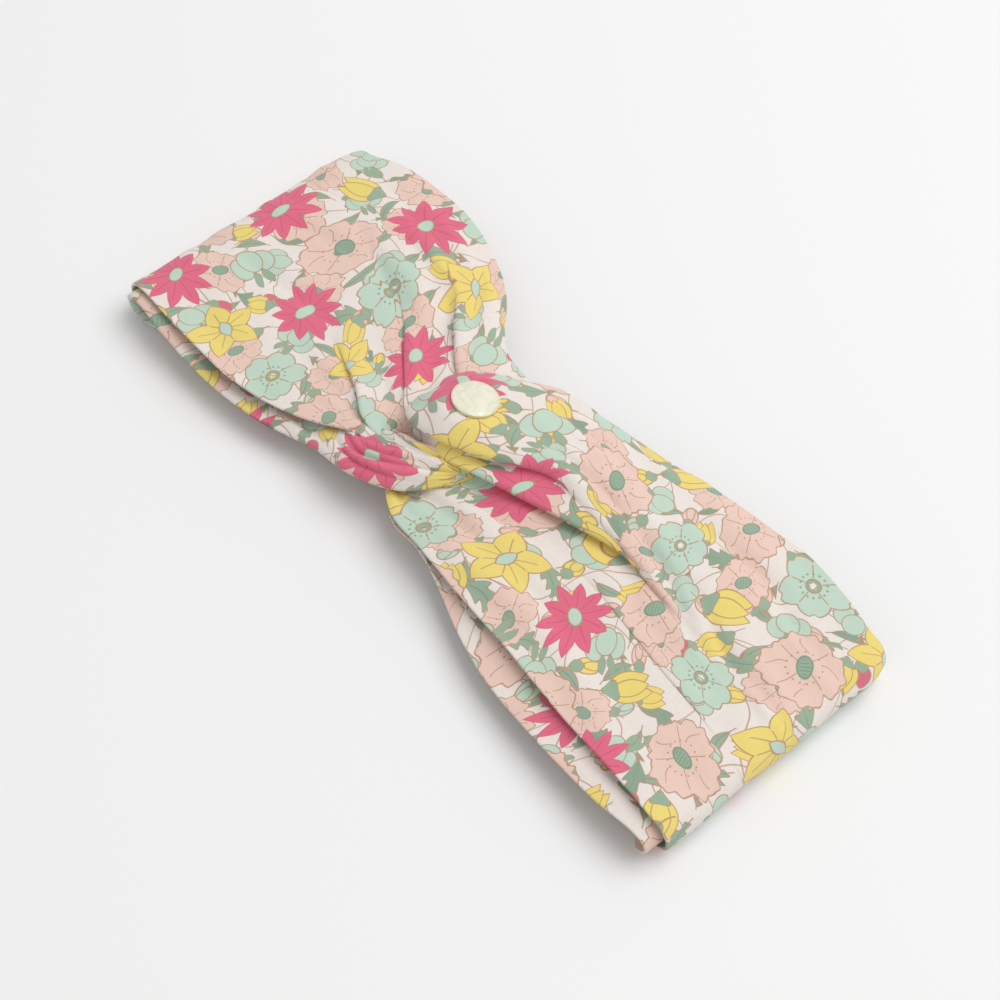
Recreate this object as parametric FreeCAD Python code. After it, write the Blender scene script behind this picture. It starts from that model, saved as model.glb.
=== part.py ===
"""Knotted headband: two folded cotton wraps hooked round each other, closed by an elastic casing.

The band lies flat as it is stored. The front (two wraps, each with an upper and a lower arm) lies over
the back (wrap tails, casing and elastic), and the ends are the two folds of the loop. The cloth is cut
into links at four bend lines and two end folds, so that the loop can open from flat to round.

Frame: origin under the middle of the band on the surface that it lies on, +X from the short front
half to the long one, +Y across the band, +Z up. Millimetres.
"""

import FreeCAD
import Part
import math
import os

# Driving dimensions
ARM = 2.2                 # one wrap arm: a flattened cotton tube of two plies
PLY_GAP = 0.2             # air between the two arms of a wrap
STACK = 2 * ARM + PLY_GAP  # both arms, and also the height of the casing
LOOP_GAP = 5.1            # the flattened opening that the head goes through
END_X = 121.5             # half of the band's flat length
BEND_X = 64.0             # where the cloth bends as the loop opens
BEND_GAP = 0.3            # clearance between a link's round end and the next link
CASING_W = 40.0           # elastic casing
ELASTIC_W = 25.0          # elastic strap inside it
ELASTIC_T = 1.6
CHANNEL_GAP = 0.2         # play round the elastic
JOIN_X = 102.0            # where the long wrap's tail is sewn to the casing
THREAD_R = 0.2            # sewing thread
STITCH, STITCH_PITCH = 2.2, 3.2
SEAM_IN, SEAM_OUT = 69.0, 112.0   # stretch of each wrap's tube seam that shows in the loop
BUTTON_R, BUTTON_T, BUTTON_DOME = 7.0, 1.2, 0.9
BUTTON_EDGE = 0.5         # rounding under the button's rim
BUTTON_TILT = 13.0        # the button and the cloth under it lean to the far side
BUTTON_AT = (-9.0, 0.5, 27.6)     # centre of the button's underside
SHANK_R, SHANK_BORE_R, SHANK_LEN = 1.9, 1.0, 1.2
SHANK_BORE_TOP = 0.6      # how far the thread's hole runs up into the disc
BUTTON_THREAD_R, BUTTON_THREAD_LEN = 0.8, 2.8
TACK_LEN = 4.0            # hidden stitches that hold the two wraps together
TACKS = ((-14, 0), (-12, 3), (-9, 0))
CORNER = 0.42             # corner radius of a band section, as a share of its thinner side

# Levels that follow from them
FRONT_Z = STACK + LOOP_GAP          # underside of the lower arms
TOP_Z = FRONT_Z + STACK             # top of the upper arms at rest
FOLD_R = TOP_Z / 2                  # outer radius of the end folds
FOLD_Z = TOP_Z / 2
FOLD_X = END_X - FOLD_R
BACK_BEND_Z = STACK / 2
FRONT_BEND_Z = FRONT_Z + STACK / 2
BEND_R = STACK / 2
LINK_END = BEND_X + BEND_R + BEND_GAP   # flat end of the outer links
TAIL_END = FOLD_X - BEND_GAP            # the tails stop just short of the end folds
LEAN = math.tan(math.radians(BUTTON_TILT))

THREAD_TOP = SHANK_BORE_TOP - 0.2       # the button's thread stops inside the disc
LEFT_TOP = 15.9                         # just inside the left wrap's top at the knot
V = FreeCAD.Vector


def section(x, y1, y2, z1, z2, lean=0.0):
    """Rounded rectangle across X, as four lines and four arcs. Its top slopes down by the lean."""
    r = CORNER * min(y2 - y1, z2 - z1)
    c = r * (1 - math.sqrt(0.5))
    middle = (y1 + y2) / 2
    p = [V(x, y, z - lean * (y - middle) * (z - z1) / (z2 - z1)) for y, z in (
        (y1 + r, z1), (y2 - r, z1), (y2 - c, z1 + c), (y2, z1 + r), (y2, z2 - r), (y2 - c, z2 - c),
        (y2 - r, z2), (y1 + r, z2), (y1 + c, z2 - c), (y1, z2 - r), (y1, z1 + r), (y1 + c, z1 + c))]
    edges = []
    for i in (0, 3, 6, 9):
        edges.append(Part.LineSegment(p[i], p[i + 1]).toShape())
        edges.append(Part.Arc(p[i + 1], p[i + 2], p[(i + 3) % 12]).toShape())
    return Part.Wire(edges)


def band(stations):
    """A flat or gathered stretch of cloth, lofted through sections (x, y1, y2, z1, z2, lean)."""
    return Part.makeLoft([section(*s) for s in stations], True, True)


def slab(x1, x2, y1, y2, z1, z2):
    return Part.makeBox(x2 - x1, y2 - y1, z2 - z1, V(x1, y1, z1))


def rod(x, z, r, y1=-70.0, y2=70.0):
    """A cylinder along Y."""
    return Part.makeCylinder(r, y2 - y1, V(x, y1, z), V(0, 1, 0))


def round_end(shape, side, z):
    """Trims a middle link at one bend line to a half-round nose. side is -1 or 1."""
    keep = slab(-BEND_X, 200, -80, 80, -10, 60) if side < 0 else slab(-200, BEND_X, -80, 80, -10, 60)
    return shape.common(keep.fuse(rod(side * BEND_X, z, BEND_R)))


def arms(outline, z1, z2):
    """The stations of one flat arm from its outline (x, y1, y2)."""
    return [(x, y1, y2, z1, z2) for x, y1, y2 in outline]


UPPER = (FRONT_Z + ARM + PLY_GAP, TOP_Z)
LOWER = (FRONT_Z, FRONT_Z + ARM)
TAIL_OUT = (0.0, ARM)
TAIL_IN = (ARM + PLY_GAP, STACK)

# Outlines (x, near y, far y) of the arms outside the bend lines
LEFT_UPPER = [
    (-FOLD_X, -42, 45), (-103, -42.5, 49), (-90, -42.5, 51), (-74, -41.5, 51), (-LINK_END, -40, 49.5),
]
LEFT_LOWER = [(-FOLD_X, -45, 43), (-95, -46.5, 45), (-78, -46.5, 44), (-LINK_END, -45, 42)]
RIGHT_UPPER = [(LINK_END, -40.5, 41), (80, -42, 42), (95, -43, 41), (105, -44, 39.5), (FOLD_X, -45, 37)]
RIGHT_LOWER = [(LINK_END, -49.5, 37), (80, -50.5, 38), (100, -51, 37), (FOLD_X, -50, 35)]
LEFT_TAIL = [(-TAIL_END, -45, 43), (-92, -36, 35), (-LINK_END, -23, 23)]
RIGHT_TAIL = [(JOIN_X, -38, 27), (TAIL_END, -50, 35)]

# Gathered stretches inside the bend lines (x, y1, y2, z1, z2, lean)
LEFT_OVER = [
    (-LINK_END, -40, 49, *UPPER), (-60, -38.5, 48, 12.1, 15.0), (-45, -29, 40, 12.1, 17.6),
    (-33, -16, 29, 12.3, 18.4), (-26, -12, 24.5, 12.5, 17.4), (-12, -11.6, 22.5, 12.5, 16.4),
    (5, -11, 19, 12.8, 16.4)]
LEFT_NEAR = [
    (-LINK_END, -45, 42, *LOWER), (-58, -43, 36, *LOWER), (-42, -37, 22, *LOWER),
    (-34, -35, -22, 9.7, 12.0),
    (-27, -33.5, -25.6, 9.7, 17.0), (-22, -33, -23.4, 14.9, 20.6), (-10, -32, -19.8, 15.2, 22.4),
    (0, -29, -17, 14.9, 20.6), (5, -24, -14.2, 13.6, 17.2)]
RIGHT_OVER = [
    (LINK_END, -40.5, 41, *UPPER), (58, -40, 40, 12.1, 17.2), (45, -38.5, 37, 12.1, 19.2),
    (28, -33, 34, 12.3, 22.0),
    (17, -22, 31.5, 13.0, 24.0, LEAN / 2), (7, -13.6, 27.5, 17.6, 25.2, LEAN),
    (-8, -16.0, 23.0, 18.4, 25.4, LEAN), (-18, -17.4, 14, 18.8, 24.6, LEAN), (-25.5, -17.0, 2, 18.9, 23.4)]
RIGHT_NEAR = [
    (LINK_END, -49.5, 37, *LOWER), (52, -47.5, 34, *LOWER), (33, -43, 30, *LOWER), (12, -36, 24, *LOWER),
    (2, -36, 10, 9.7, 11.8), (-4, -34.5, -12.6, 9.7, 12.0), (-10, -32, -13.2, 9.7, 14.6),
    (-20, -22.6, -13.0, 9.7, 14.6), (-25.5, -22.6, -13.4, 9.8, 18.6)]


def folds(side, y_outer, y_inner):
    """The end fold: the upper arm turns on the outside and the lower arm on the inside."""
    shells = []
    for (y1, y2), r1, r2 in ((y_outer, FOLD_R - ARM, FOLD_R), (y_inner, LOOP_GAP / 2, LOOP_GAP / 2 + ARM)):
        ring = rod(side * FOLD_X, FOLD_Z, r2, y1, y2).cut(rod(side * FOLD_X, FOLD_Z, r1, y1, y2))
        x1, x2 = sorted((side * FOLD_X, side * (END_X + 1)))
        shells.append(ring.common(slab(x1, x2, y1, y2, -1, TOP_Z + 1)))
    return Part.makeCompound(shells)


def stitches(start, end):
    """A row of sewing stitches, each a short length of thread."""
    a, b = V(*start), V(*end)
    line = b - a
    count = int((line.Length + STITCH_PITCH - STITCH) // STITCH_PITCH)
    step = line.normalize() * STITCH_PITCH
    return [Part.makeCylinder(THREAD_R, STITCH, a + step * i, step) for i in range(count)]


def casing(x1, x2):
    """The casing's cotton tube with the channel that holds the elastic."""
    tube = band([(x1, -CASING_W / 2, CASING_W / 2, 0, STACK), (x2, -CASING_W / 2, CASING_W / 2, 0, STACK)])
    half_w, half_t = ELASTIC_W / 2 + CHANNEL_GAP, ELASTIC_T / 2 + CHANNEL_GAP
    return tube.cut(slab(x1 - 1, x2 + 1, -half_w, half_w, STACK / 2 - half_t, STACK / 2 + half_t))


def elastic(x1, x2):
    return slab(x1, x2, -ELASTIC_W / 2, ELASTIC_W / 2, (STACK - ELASTIC_T) / 2, (STACK + ELASTIC_T) / 2)


def button():
    """Domed shank button, made upright at the origin."""
    rim = Part.makeCylinder(BUTTON_R, BUTTON_T)
    sphere_r = (BUTTON_R ** 2 + BUTTON_DOME ** 2) / (2 * BUTTON_DOME)
    dome = Part.makeSphere(sphere_r, V(0, 0, BUTTON_T + BUTTON_DOME - sphere_r))
    dome = dome.common(Part.makeCylinder(BUTTON_R, BUTTON_DOME + 1, V(0, 0, BUTTON_T)))
    body = rim.fuse(dome).removeSplitter()
    body = body.makeFillet(BUTTON_EDGE, [e for e in body.Edges if abs(e.BoundBox.ZMax) < 1e-6])
    shank = Part.makeCylinder(SHANK_R, SHANK_LEN, V(0, 0, -SHANK_LEN))
    bore = Part.makeCylinder(SHANK_BORE_R, SHANK_LEN + SHANK_BORE_TOP, V(0, 0, -SHANK_LEN))
    return body.fuse(shank).cut(bore)


def placed(shape):
    """Puts a button piece on the knot, leaning to the far side."""
    moved = shape.copy()
    moved.Placement = FreeCAD.Placement(V(*BUTTON_AT), FreeCAD.Rotation(V(1, 0, 0), -BUTTON_TILT))
    return moved


def build():
    right_back_end = BEND_X + BEND_R
    parts = {
        # front, middle link: the knot
        "left_wrap_upper_knot": round_end(band(LEFT_OVER), -1, FRONT_BEND_Z),
        "left_wrap_lower_knot": round_end(band(LEFT_NEAR), -1, FRONT_BEND_Z),
        "right_wrap_upper_knot": round_end(band(RIGHT_OVER), 1, FRONT_BEND_Z),
        "right_wrap_lower_knot": round_end(band(RIGHT_NEAR), 1, FRONT_BEND_Z),
        # front, outer links
        "left_wrap_upper_side": band(arms(LEFT_UPPER, *UPPER)),
        "left_wrap_lower_side": band(arms(LEFT_LOWER, *LOWER)),
        "right_wrap_upper_side": band(arms(RIGHT_UPPER, *UPPER)),
        "right_wrap_lower_side": band(arms(RIGHT_LOWER, *LOWER)),
        # end folds and tails
        "left_wrap_fold": folds(-1, (-42, 45), (-45, 43)),
        "right_wrap_fold": folds(1, (-45, 37), (-50, 35)),
        "left_wrap_tail": Part.makeCompound([band(arms(LEFT_TAIL, *z)) for z in (TAIL_OUT, TAIL_IN)]),
        "right_wrap_tail": Part.makeCompound([band(arms(RIGHT_TAIL, *z)) for z in (TAIL_OUT, TAIL_IN)]),
        # back: casing and elastic
        "casing_middle": round_end(round_end(casing(-right_back_end, right_back_end), -1, BACK_BEND_Z),
                                   1, BACK_BEND_Z),
        "casing_right": casing(LINK_END, JOIN_X),
        "elastic_middle": elastic(-BEND_X, BEND_X),
        "elastic_right": elastic(LINK_END, JOIN_X),
        # sewing thread
        "casing_topstitching": Part.makeCompound(
            stitches((-60, -16, STACK), (60, -16, STACK)) + stitches((-60, 16, STACK), (60, 16, STACK))),
        "left_join_stitching": Part.makeCompound(
            stitches((-70, -18, STACK), (-70, 18, STACK)) + stitches((-73, -18, STACK), (-73, 18, STACK))),
        "right_join_stitching": Part.makeCompound(
            stitches((104, -18, STACK), (104, 18, STACK)) + stitches((99, -18, STACK), (99, 18, STACK))),
        "left_wrap_seam_thread": Part.makeCompound(
            stitches((-SEAM_OUT, 0, FRONT_Z), (-SEAM_IN, 0, FRONT_Z))),
        "right_wrap_seam_thread": Part.makeCompound(
            stitches((SEAM_IN, 0, FRONT_Z), (SEAM_OUT, 0, FRONT_Z))),
        "knot_tack_thread": Part.makeCompound(
            [Part.makeCylinder(THREAD_R, TACK_LEN, V(x, y, LEFT_TOP)) for x, y in TACKS]),
        # button
        "button": placed(button()),
        "button_thread": placed(
            Part.makeCylinder(BUTTON_THREAD_R, BUTTON_THREAD_LEN, V(0, 0, THREAD_TOP - BUTTON_THREAD_LEN))),
    }
    os.makedirs("parts", exist_ok=True)
    for name, shape in parts.items():
        solids = shape.Solids
        assert solids and all(s.isValid() and s.Volume > 0 for s in solids), name
        shape = solids[0] if len(solids) == 1 else Part.makeCompound(solids)
        shape.exportStep("parts/%s.step" % name)
        print("%-24s %3d solids %9.1f mm3" % (name, len(solids), shape.Volume))


build()
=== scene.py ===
"""Looks of the knotted headband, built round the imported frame. Nets are in mm, Blender in metres."""
import math

import bmesh
import bpy
import numpy as np
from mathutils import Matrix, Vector


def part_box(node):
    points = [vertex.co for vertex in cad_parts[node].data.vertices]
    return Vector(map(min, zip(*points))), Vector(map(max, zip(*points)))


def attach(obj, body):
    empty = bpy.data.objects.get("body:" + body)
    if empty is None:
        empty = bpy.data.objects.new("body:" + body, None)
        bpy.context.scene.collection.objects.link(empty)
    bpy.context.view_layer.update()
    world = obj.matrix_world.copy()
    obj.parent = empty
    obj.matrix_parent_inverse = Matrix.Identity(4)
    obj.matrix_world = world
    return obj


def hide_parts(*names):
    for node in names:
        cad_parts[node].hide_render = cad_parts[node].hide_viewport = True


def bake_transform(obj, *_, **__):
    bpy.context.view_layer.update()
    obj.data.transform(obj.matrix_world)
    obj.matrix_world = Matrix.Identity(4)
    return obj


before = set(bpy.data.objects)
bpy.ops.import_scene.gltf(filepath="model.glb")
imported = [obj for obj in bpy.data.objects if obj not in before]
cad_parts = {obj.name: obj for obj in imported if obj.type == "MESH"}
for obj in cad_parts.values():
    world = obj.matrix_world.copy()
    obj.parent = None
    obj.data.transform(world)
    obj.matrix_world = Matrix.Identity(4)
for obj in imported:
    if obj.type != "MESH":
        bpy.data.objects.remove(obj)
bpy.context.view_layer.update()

MM = 0.001

# Sizes worked out from the frame
CASING_LO, CASING_HI = (np.array(c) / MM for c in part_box("casing_middle"))
FOLD_HI = np.array(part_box("right_wrap_fold")[1]) / MM
END_X = FOLD_HI[0]
FOLD_R = FOLD_HI[2] / 2
FOLD_X = END_X - FOLD_R
STACK = CASING_HI[2]
BEND_X = CASING_HI[0] - STACK / 2
CLOTH_T = 1.0             # thickness of one arm: two plies of lawn
CUT_X = 84.0              # where each arm is cut, between its front bend and its end fold
OUTER_Z = FOLD_HI[2] - 0.9    # middle height of an upper arm at the end folds
INNER_Z = 10.8                # and of a lower arm
UV_MM = 100.0             # millimetres of cloth per unit of its map
WEAVE = 0.5               # pitch of the weave
UNDERSIDE_PRINT = np.array([41.0, 23.0])    # how far the second ply's print is shifted


# ---- fields: arithmetic on shader nodes
class Field:
    """A number or a vector that varies over a surface: the output of a shader node, with arithmetic."""
    tree = None

    def __init__(self, socket):
        self.socket = socket

    def __add__(self, other):
        return number("ADD", self, other)

    def __sub__(self, other):
        return number("SUBTRACT", self, other)

    def __rsub__(self, other):
        return number("SUBTRACT", other, self)

    def __mul__(self, other):
        return number("MULTIPLY", self, other)

    def __truediv__(self, other):
        return number("DIVIDE", self, other)

    def __abs__(self):
        return number("ABSOLUTE", self)

    def __gt__(self, other):
        return number("GREATER_THAN", self, other)

    __radd__ = __add__
    __rmul__ = __mul__


def wire(node, values):
    """Connects or sets a node's inputs in their order. None leaves one alone."""
    for socket, value in zip(node.inputs, values):
        if isinstance(value, Field):
            Field.tree.links.new(value.socket, socket)
        elif value is not None:
            socket.default_value = value


def new_node(kind, values=(), **settings):
    node = Field.tree.nodes.new("ShaderNode" + kind)
    for name, value in settings.items():
        setattr(node, name, value)
    wire(node, values)
    return node


def number(operation, *values, clamp=False):
    return Field(new_node("Math", values, operation=operation, use_clamp=clamp).outputs[0])


def vector(operation, *values):
    node = new_node("VectorMath", values, operation=operation)
    return Field(node.outputs[1 if operation == "LENGTH" else 0])


def sine(v):
    return number("SINE", v)


def scaled(v, factor):
    return vector("SCALE", v, None, None, factor)


def parts_of(v):
    return [Field(out) for out in new_node("SeparateXYZ", [v]).outputs]


def turned(v, angle):
    return Field(new_node("VectorRotate", [v, None, None, angle], rotation_type="Z_AXIS").outputs[0])


def noise(v, scale, detail=2.0):
    """Smooth noise, as (a number, a vector of three)."""
    node = new_node("TexNoise", [v, None, scale, detail])
    return Field(node.outputs[0]), Field(node.outputs[1])


def within(d, soft=0.12):
    """1 where the distance d (mm) is below 0, with a soft edge."""
    return number("MULTIPLY_ADD", d, -0.5 / soft, 0.5, clamp=True)


def line(d, width=0.37):
    """1 on the line where d is 0."""
    return within(abs(d) - width / 2)


def either(*masks):
    total = masks[0]
    for m in masks[1:]:
        total = number("MAXIMUM", total, m)
    return total


def paint(under, color, mask):
    """Color laid over under where mask is 1. A color is a tuple or a field."""
    node = new_node("Mix", data_type="RGBA")
    given = {"A_Color": under, "B_Color": color, "Factor_Float": mask}
    wire(node, [given.get(s.identifier) for s in node.inputs])
    return Field(next(s for s in node.outputs if s.identifier == "Result_Color"))


def ellipse(x, y, cx, cy, a, b):
    """About the distance to an ellipse's edge."""
    u = (x - cx) * (1 / a)
    v = (y - cy) * (1 / b)
    return (number("SQRT", u * u + v * v) - 1.0) * min(a, b)


def almond(x, y, a, b):
    """About the distance to the edge of a pointed leaf, 2a long and 2b wide."""
    u = x * (1 / a)
    return abs(y) - (1.0 - u * u) * b


def srgb(r, g, b):
    """A colour given as it looks on a screen, 0 to 255."""
    return tuple((c / 255 / 12.92 if c / 255 <= 0.04045 else ((c / 255 + 0.055) / 1.055) ** 2.4)
                 for c in (r, g, b)) + (1.0,)


# ---- the floral print
GROUND, SHADED_GROUND = srgb(241, 233, 226), srgb(233, 222, 214)
INK, PINK_INK = srgb(184, 144, 112), srgb(196, 88, 106)
MINT, SAGE, DARK_SAGE = srgb(196, 217, 200), srgb(156, 178, 154), srgb(128, 154, 134)
PEACH, YELLOW, PINK = srgb(236, 204, 190), srgb(240, 217, 122), srgb(230, 108, 136)


def cells(p, spacing, seed, jitter):
    """Splits the cloth into hexagons. Returns the place in the cell, turned at random, and two numbers:
    one that is spread evenly over the cells, and a random one."""
    step = (spacing, spacing * math.sqrt(3), 1.0)
    half = (0.5, 0.5, 0.0)
    whole = vector("DIVIDE", p, step)
    a_id = vector("FLOOR", vector("ADD", whole, half))
    b_id = vector("ADD", vector("FLOOR", whole), half)
    a = vector("SUBTRACT", p, vector("MULTIPLY", a_id, step))
    b = vector("SUBTRACT", p, vector("MULTIPLY", b_id, step))
    nearer = number("LESS_THAN", vector("LENGTH", a), vector("LENGTH", b))
    place = vector("ADD", b, scaled(vector("SUBTRACT", a, b), nearer))
    cell = vector("ADD", b_id, scaled(vector("SUBTRACT", a_id, b_id), nearer))
    rolls = Field(new_node("TexWhiteNoise", [vector("ADD", cell, (0.0, 0.0, float(seed)))]).outputs[1])
    shift = scaled(vector("SUBTRACT", rolls, (0.5, 0.5, 0.5)), 2.0 * jitter)
    _, two, three = parts_of(rolls)
    # Spreads the kinds evenly: cells side by side don't draw the same one
    cell_x, cell_y, _ = parts_of(cell)
    one = number("FRACT", cell_x * 0.62 + cell_y * 0.1 + two * 0.08 + (seed * 0.37 + 50.0))
    moved = vector("MULTIPLY", vector("SUBTRACT", place, shift), (1.0, 1.0, 0.0))
    return turned(moved, three * (2 * math.pi)), one, two


def petals(r, angle, count):
    """Place in the nearest of count petals: out from the centre, across, and the petal's number."""
    a = angle * (count / (2 * math.pi)) + 0.5
    index = number("FLOOR", a)
    off = (a - index - 0.5) * (2 * math.pi / count)
    return r * number("COSINE", off), r * sine(off), index


def petal_split(across, out, count):
    """The line between two petals that touch, with room for the ink's width."""
    reach = abs(across) - abs(out) * math.tan(math.pi / count)
    return line(reach, 0.34)


def ring_of_dots(r, angle, radius, count, size=0.32):
    a = angle * (count / (2 * math.pi))
    off = (a - number("ROUND", a)) * (2 * math.pi / count * radius)
    out = r - radius
    return within(number("SQRT", off * off + out * out) - size)


# Each kind of flower is drawn from the place in its cell, as x and y and as r and angle, and a random
# number. It returns its mask and its colour.
def rosette(x, y, r, angle, wobble):
    """Five heart-shaped mint petals round a sage centre."""
    out, across, _ = petals(r, angle, 5)
    notch = within(abs(across) * 1.6 - 1.1, 1.0) * 0.9
    edge = ellipse(out, across, 5.2, 0.0, 4.2, 4.1) + notch * within(7.0 - out, 1.2)
    shape = within(edge)
    ink = either(line(edge), petal_split(across, out, 5) * within(edge + 0.6))
    color = paint(MINT, DARK_SAGE, ring_of_dots(r, angle, 3.4, 14) * 0.8)
    color = paint(color, INK, ink)
    color = paint(color, SAGE, within(r - 1.9))
    color = paint(color, INK, line(r - 1.9, 0.36))
    return either(shape, line(edge)), color


def daisy(x, y, r, angle, wobble):
    """Ten narrow pink petals of uneven length round a mint oval."""
    out, across, index = petals(r, angle, 10)
    length = sine(index * 2.4 + wobble * 9.0) * 0.9
    edge = almond(out - 6.0 - length * 0.5, across, 5.2, 2.0) - 0.1
    shape = within(edge)
    middle = ellipse(x, y, 0.0, 0.0, 2.9, 1.9)
    color = paint(PINK, PINK_INK, either(line(edge, 0.3), line(across + 0.25, 0.2) * within(out - 8.6)))
    color = paint(color, MINT, within(middle))
    color = paint(color, INK, line(middle, 0.34))
    return either(shape, within(r - 4.4), within(middle)), color


def poppy(x, y, r, angle, wobble):
    """Four broad peach petals with a wavy edge and a striped sage oval."""
    out, across, index = petals(r, angle, 4)
    ripple = sine(angle * 13.0 + wobble * 20.0) * 0.42 + sine(angle * 22.0) * 0.22
    edge = ellipse(out, across, 5.4, 0.0, 5.7, 7.0) + ripple
    fold = sine(out * 0.55 + index * 1.7) * 1.6
    ink = either(line(edge), petal_split(across, out, 4) * within(edge + 0.8),
                 line(across - fold, 0.26) * within(4.6 - out) * within(out - 9.4))
    middle = ellipse(x, y, 0.0, 0.0, 3.3, 2.1)
    color = paint(PEACH, INK, either(ink, ring_of_dots(r, angle, 4.8, 15, 0.26)))
    color = paint(color, SAGE, within(middle))
    stripes = line(sine(x * 2.9) * 0.5, 0.36) * within(middle + 0.5)
    color = paint(color, DARK_SAGE, either(line(middle, 0.4), stripes))
    return either(within(edge), line(edge)), color


def star(x, y, r, angle, wobble):
    """An open yellow flower: five pointed petals and a mint almond."""
    out, across, index = petals(r, angle, 5)
    tip = sine(index * 1.9 + wobble * 7.0) * 0.8
    edge = almond(out - 5.0 - tip * 0.5, across, 6.2, 3.6)
    color = paint(YELLOW, INK, either(line(edge), petal_split(across, out, 5) * within(edge + 0.5),
                                      line(across - 0.4, 0.24) * within(out - 7.6)))
    middle = almond(x, y, 3.4, 1.7)
    color = paint(color, MINT, within(middle))
    color = paint(color, INK, line(middle, 0.36))
    return either(within(edge), line(edge), within(r - 3.0)), color


def tulip(x, y, r, angle, wobble):
    """A yellow tulip seen from the side, on a sage calyx and a bent stem."""
    side_x = abs(x) - 2.5
    tips = almond(y - 1.6 + side_x * 0.45, side_x - 0.2, 6.2, 2.5)
    cup = almond(y - 0.6, x, 6.4, 2.8)
    edge = number("MINIMUM", tips, cup)
    calyx = number("MINIMUM", almond(y + 5.2 - abs(x) * 0.5, x, 2.6, 3.3),
                   ellipse(x, y, 0.0, -6.0, 1.4, 1.6))
    bend = x - (y + 7.0) * (y + 7.0) * 0.05
    stem = line(bend, 0.42) * within(y + 6.6) * within(-11.4 - y)
    color = paint(YELLOW, INK, either(line(edge), line(cup, 0.32)))
    color = paint(color, SAGE, within(calyx))
    color = paint(color, INK, either(line(calyx, 0.34), stem))
    return either(within(edge), line(edge), within(calyx), stem), color


def side_bloom(x, y, r, angle, wobble):
    """A mint flower from the side: three lobes over two sage sepals."""
    side_x = abs(x) - 4.0
    lobes = ellipse(side_x, y, 0.0, 0.6, 4.0, 4.4)
    top = ellipse(x, y, 0.0, 2.6, 4.3, 4.8)
    edge = number("MINIMUM", lobes, top)
    sepals = almond(y + 4.4 + abs(x) * 0.6, abs(x) - 1.8, 3.6, 1.7)
    color = paint(MINT, INK, either(line(edge), line(top, 0.32)))
    color = paint(color, SAGE, within(sepals))
    color = paint(color, INK, line(sepals, 0.34))
    return either(within(edge), line(edge), within(sepals)), color


# Each kind of flower with the share of the cells that it takes
FLOWERS = ((rosette, 0.20), (daisy, 0.15), (poppy, 0.29), (star, 0.14), (tulip, 0.13), (side_bloom, 0.09))
SMALL_FLOWERS = ((tulip, 0.32), (side_bloom, 0.34), (poppy, 0.34))


def flower_layer(under, p, kinds, seed):
    place, one, two = cells(p, 25.5, seed, 0.9)
    x, y, _ = parts_of(place)
    r = vector("LENGTH", place)
    angle = number("ARCTAN2", y, x)
    cover, color, start = 0.0, PEACH, 0.0
    for kind, share in kinds:
        mask, own = kind(x, y, r, angle, two)
        chosen = one > start
        color = paint(color, own, chosen)
        cover = number("MULTIPLY_ADD", chosen, mask - cover, cover)
        start += share
    return paint(under, color, cover)


def leaf_layer(under, p, spacing, seed, length, width, lobes):
    """Sage leaves at random angles, some with lobed edges."""
    place, one, two = cells(p, spacing, seed, 0.8)
    x, y, _ = parts_of(place)
    bent = y + x * x * 0.045 - 0.8
    edge = almond(x, bent, length, width)
    if lobes:
        edge = edge + sine(x * 1.5 + abs(bent) * 1.6) * 0.75
    drawn = one > 0.22
    vein = line(bent, 0.26) * within(edge + 0.4)
    stem = line(bent, 0.36) * within(abs(x) - length - 1.5)
    color = paint(SAGE, DARK_SAGE, either((two > 0.7) * 0.45, vein))
    color = paint(color, INK, either(line(edge, 0.36), stem * within(0.1 - edge)))
    return paint(under, color, either(within(edge), line(edge, 0.36), stem) * drawn)


def bud_layer(under, p):
    """Small round buds in pink, yellow, peach and mint, with a sage cap."""
    place, one, two = cells(p, 17.0, 9, 0.9)
    x, y, _ = parts_of(place)
    bud = ellipse(x, y, 0.0, 0.0, 3.3, 2.5)
    cap = almond(x + 3.0, y, 2.2, 1.9)
    stem = line(y - (x + 4.0) * (x + 4.0) * 0.06, 0.38) * within(x + 4.4) * within(-7.4 - x)
    color = paint(YELLOW, PINK, two > 0.34)
    color = paint(color, PEACH, two > 0.56)
    color = paint(color, MINT, two > 0.8)
    color = paint(color, INK, either(line(bud), line(ellipse(x, y, 1.4, 0.0, 2.6, 1.3), 0.26) * within(bud)))
    color = paint(color, SAGE, within(cap))
    color = paint(color, INK, either(line(cap, 0.34), stem))
    cover = either(within(bud), line(bud), within(cap), stem) * (one > 0.25)
    return paint(under, color, cover)


def stem_layer(under, p):
    """Long thin stems that wander over the ground."""
    x, y, _ = parts_of(p)
    color = under
    for tilt, spacing, sway in ((0.35, 13.0, 4.0), (-0.9, 19.0, 5.0)):
        across = y * math.cos(tilt) - x * math.sin(tilt)
        run = x * math.cos(tilt) + y * math.sin(tilt)
        wave = (across + sine(run * 0.16) * sway) * (1 / spacing)
        off = (wave - number("ROUND", wave)) * spacing
        color = paint(color, INK, line(off, 0.36) * 0.85)
    return color


def start_material(name):
    """A new material and its shader. The fields made after it go to its nodes."""
    material = bpy.data.materials.new(name)
    material.use_nodes = True
    Field.tree = material.node_tree
    return material, material.node_tree.nodes["Principled BSDF"]


def set_up(node, values):
    """Connects or sets a node's inputs by name."""
    for name, value in values.items():
        if isinstance(value, Field):
            Field.tree.links.new(value.socket, node.inputs[name])
        else:
            node.inputs[name].default_value = value


def bumped(height, distance, strength=0.5):
    """The normals of a surface with the given height."""
    node = new_node("Bump")
    set_up(node, {"Strength": strength, "Distance": distance, "Height": height})
    return Field(node.outputs[0])


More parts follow.
